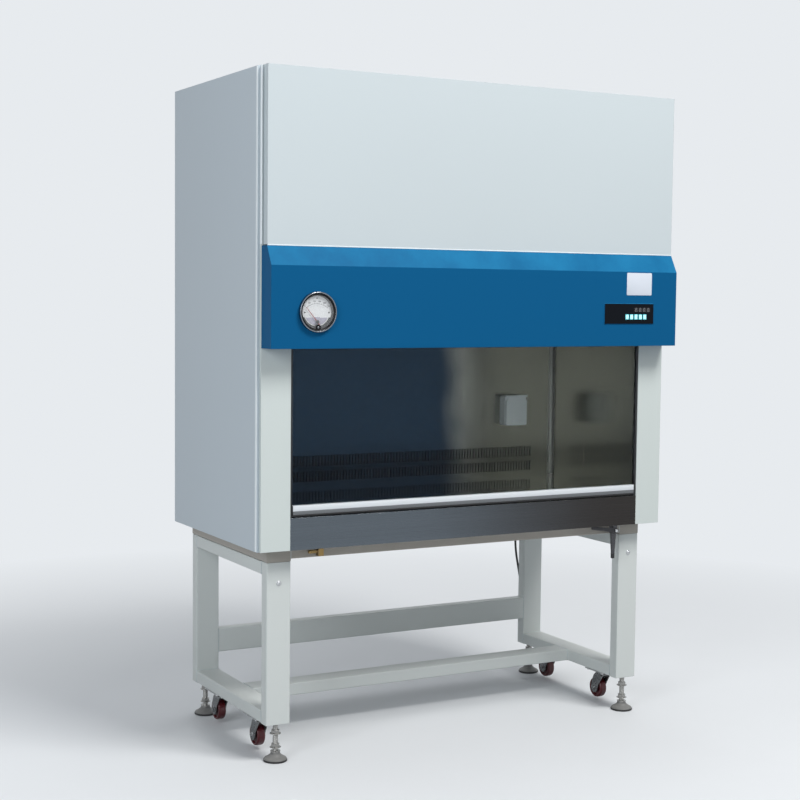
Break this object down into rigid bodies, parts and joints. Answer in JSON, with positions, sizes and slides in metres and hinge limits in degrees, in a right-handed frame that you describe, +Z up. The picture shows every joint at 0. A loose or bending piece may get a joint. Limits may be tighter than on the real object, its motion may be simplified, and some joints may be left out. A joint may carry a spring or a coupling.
{
  "type": "biosafety cabinet",
  "caption": "Floor-standing biosafety cabinet: enclosure with sliding glass sash, blue control fascia and steel work chamber, on a tubular stand with casters and levelling feet.",
  "frame": {"origin": "on the floor below the middle of the cabinet, without its power cord", "axes": "+X to the user's right, +Y to the back, +Z up"},
  "size_m": [1.5, 0.937, 2.1],
  "materials": {
    "panel_paint": "satin light grey powder coat",
    "front_paint": "satin off-white powder coat",
    "fascia_blue": "satin blue paint",
    "stand_paint": "satin light grey powder coat",
    "stainless": "brushed stainless steel",
    "galvanised": "galvanised sheet",
    "rail_aluminium": "anodised aluminium",
    "guide_black": "black anodised aluminium",
    "clear_glass": "clear safety glass",
    "lamp_glass": "frosted lamp glass",
    "filter_paper": "glass-fibre filter paper",
    "belt_rubber": "black toothed belt",
    "motor_grey": "grey machine paint",
    "white_plastic": "white moulded plastic",
    "gauge_case": "turned and lacquered aluminium",
    "needle_red": "red lacquer",
    "panel_black": "black panel film",
    "button_teal": "turquoise key caps",
    "zinc": "zinc plate",
    "wheel_red": "dark red tread",
    "brass": "plain brass",
    "valve_grey": "dull nickel plate",
    "lever_black": "black dipped steel",
    "cord_black": "black sheath",
    "gland_grey": "dark grey nylon"
  },
  "bodies": {
    "cabinet": {"side_panel_left": "panel_paint", "side_panel_right": "panel_paint", "rear_panel": "panel_paint", "top_panel": "panel_paint", "base_pan": "galvanised", "base_frame": "stand_paint", "pillar_left": "front_paint", "pillar_right": "front_paint", "upper_cover": "front_paint", "fascia": "fascia_blue", "plenum_box": "galvanised", "chamber_back": "stainless", "chamber_sides": "stainless", "ceiling_diffuser": "stainless", "work_tray": "stainless", "intake_grille": "stainless", "front_apron": "stainless", "sash_guides": "guide_black", "sash_drive": "motor_grey", "drive_belts": "belt_rubber", "supply_filter": "filter_paper", "exhaust_filter": "filter_paper", "blower_housing": "galvanised", "lamps": "lamp_glass", "socket_body": "white_plastic", "gauge": "gauge_case", "control_panel": "panel_black", "stand_frame": "stand_paint", "caster_plates": "zinc", "drain_valve_body": "valve_grey", "service_fitting": "brass", "cord_gland": "gland_grey", "cord_run": "cord_black", "cord_coil": "cord_black", "power_plug": "cord_black"},
    "sash": {"sash_glass": "clear_glass", "sash_rails": "rail_aluminium"},
    "drive_shaft": {"drive_shaft": "zinc"},
    "idler_pulleys": {"idler_pulleys": "zinc"},
    "blower_impeller": {"blower_impeller": "galvanised"},
    "socket_cover": {"socket_cover": "white_plastic"},
    "gauge_needle": {"gauge_needle": "needle_red"},
    "drain_valve_lever": {"drain_valve_lever": "lever_black"},
    "button_1": {"button_1": "button_teal"},
    "button_2": {"button_2": "button_teal"},
    "button_3": {"button_3": "button_teal"},
    "button_4": {"button_4": "button_teal"},
    "button_5": {"button_5": "button_teal"},
    "caster_fork_front_left": {"caster_fork_front_left": "zinc"},
    "caster_wheel_front_left": {"caster_wheel_front_left": "wheel_red"},
    "foot_front_left": {"foot_front_left": "zinc"},
    "caster_fork_front_right": {"caster_fork_front_right": "zinc"},
    "caster_wheel_front_right": {"caster_wheel_front_right": "wheel_red"},
    "foot_front_right": {"foot_front_right": "zinc"},
    "caster_fork_rear_left": {"caster_fork_rear_left": "zinc"},
    "caster_wheel_rear_left": {"caster_wheel_rear_left": "wheel_red"},
    "foot_rear_left": {"foot_rear_left": "zinc"},
    "caster_fork_rear_right": {"caster_fork_rear_right": "zinc"},
    "caster_wheel_rear_right": {"caster_wheel_rear_right": "wheel_red"},
    "foot_rear_right": {"foot_rear_right": "zinc"}
  },
  "joints": [
    {"name": "sash_slide", "type": "slide", "parent": "cabinet", "child": "sash", "axis": [0, 0, 1], "range_m": [0, 0.42]},
    {"name": "drive_shaft_spin", "type": "hinge", "parent": "cabinet", "child": "drive_shaft", "pos_m": [0, -0.266, 1.83], "axis": [-1, 0, 0], "range_deg": [-5, 1100]},
    {"name": "idler_spin", "type": "hinge", "parent": "cabinet", "child": "idler_pulleys", "pos_m": [0, -0.266, 1.29], "axis": [-1, 0, 0], "range_deg": [-5, 1100]},
    {"name": "blower_spin", "type": "hinge", "parent": "cabinet", "child": "blower_impeller", "pos_m": [-0.34, 0.002, 1.8055], "axis": [1, 0, 0], "continuous": true},
    {"name": "socket_cover_hinge", "type": "hinge", "parent": "cabinet", "child": "socket_cover", "pos_m": [0.497, 0.2152, 1.069], "axis": [-1, 0, 0], "range_deg": [0, 100]},
    {"name": "needle_swing", "type": "hinge", "parent": "cabinet", "child": "gauge_needle", "pos_m": [-0.594, -0.387, 1.3525], "axis": [0, 1, 0], "range_deg": [0, 80], "stiffness_Nm_per_rad": 0.02},
    {"name": "valve_lever_turn", "type": "hinge", "parent": "cabinet", "child": "drain_valve_lever", "pos_m": [0.574, -0.286, 0.642], "axis": [0, -1, 0], "range_deg": [0, 90]},
    {"name": "button_1_press", "type": "slide", "parent": "cabinet", "child": "button_1", "axis": [0, 1, 0], "range_m": [0, 0.0015], "stiffness_N_per_m": 400},
    {"name": "button_2_press", "type": "slide", "parent": "cabinet", "child": "button_2", "axis": [0, 1, 0], "range_m": [0, 0.0015], "stiffness_N_per_m": 400},
    {"name": "button_3_press", "type": "slide", "parent": "cabinet", "child": "button_3", "axis": [0, 1, 0], "range_m": [0, 0.0015], "stiffness_N_per_m": 400},
    {"name": "button_4_press", "type": "slide", "parent": "cabinet", "child": "button_4", "axis": [0, 1, 0], "range_m": [0, 0.0015], "stiffness_N_per_m": 400},
    {"name": "button_5_press", "type": "slide", "parent": "cabinet", "child": "button_5", "axis": [0, 1, 0], "range_m": [0, 0.0015], "stiffness_N_per_m": 400},
    {"name": "caster_swivel_front_left", "type": "hinge", "parent": "cabinet", "child": "caster_fork_front_left", "pos_m": [-0.658, -0.127, 0.104], "axis": [0, 0, 1], "continuous": true},
    {"name": "wheel_roll_front_left", "type": "hinge", "parent": "caster_fork_front_left", "child": "caster_wheel_front_left", "pos_m": [-0.658, -0.102, 0.047], "axis": [1, 0, 0], "continuous": true},
    {"name": "foot_screw_front_left", "type": "slide", "parent": "cabinet", "child": "foot_front_left", "axis": [0, 0, 1], "range_m": [-0.03, 0.015]},
    {"name": "caster_swivel_front_right", "type": "hinge", "parent": "cabinet", "child": "caster_fork_front_right", "pos_m": [0.658, -0.127, 0.104], "axis": [0, 0, 1], "continuous": true},
    {"name": "wheel_roll_front_right", "type": "hinge", "parent": "caster_fork_front_right", "child": "caster_wheel_front_right", "pos_m": [0.658, -0.102, 0.047], "axis": [1, 0, 0], "continuous": true},
    {"name": "foot_screw_front_right", "type": "slide", "parent": "cabinet", "child": "foot_front_right", "axis": [0, 0, 1], "range_m": [-0.03, 0.015]},
    {"name": "caster_swivel_rear_left", "type": "hinge", "parent": "cabinet", "child": "caster_fork_rear_left", "pos_m": [-0.658, 0.201, 0.104], "axis": [0, 0, 1], "continuous": true},
    {"name": "wheel_roll_rear_left", "type": "hinge", "parent": "caster_fork_rear_left", "child": "caster_wheel_rear_left", "pos_m": [-0.658, 0.226, 0.047], "axis": [1, 0, 0], "continuous": true},
    {"name": "foot_screw_rear_left", "type": "slide", "parent": "cabinet", "child": "foot_rear_left", "axis": [0, 0, 1], "range_m": [-0.03, 0.015]},
    {"name": "caster_swivel_rear_right", "type": "hinge", "parent": "cabinet", "child": "caster_fork_rear_right", "pos_m": [0.658, 0.201, 0.104], "axis": [0, 0, 1], "continuous": true},
    {"name": "wheel_roll_rear_right", "type": "hinge", "parent": "caster_fork_rear_right", "child": "caster_wheel_rear_right", "pos_m": [0.658, 0.226, 0.047], "axis": [1, 0, 0], "continuous": true},
    {"name": "foot_screw_rear_right", "type": "slide", "parent": "cabinet", "child": "foot_rear_right", "axis": [0, 0, 1], "range_m": [-0.03, 0.015]}
  ],
  "couplings": [
    {"joint": "drive_shaft_spin", "follows": "sash_slide", "rad_per_m": 45.455},
    {"joint": "idler_spin", "follows": "sash_slide", "rad_per_m": 45.455}
  ]
}
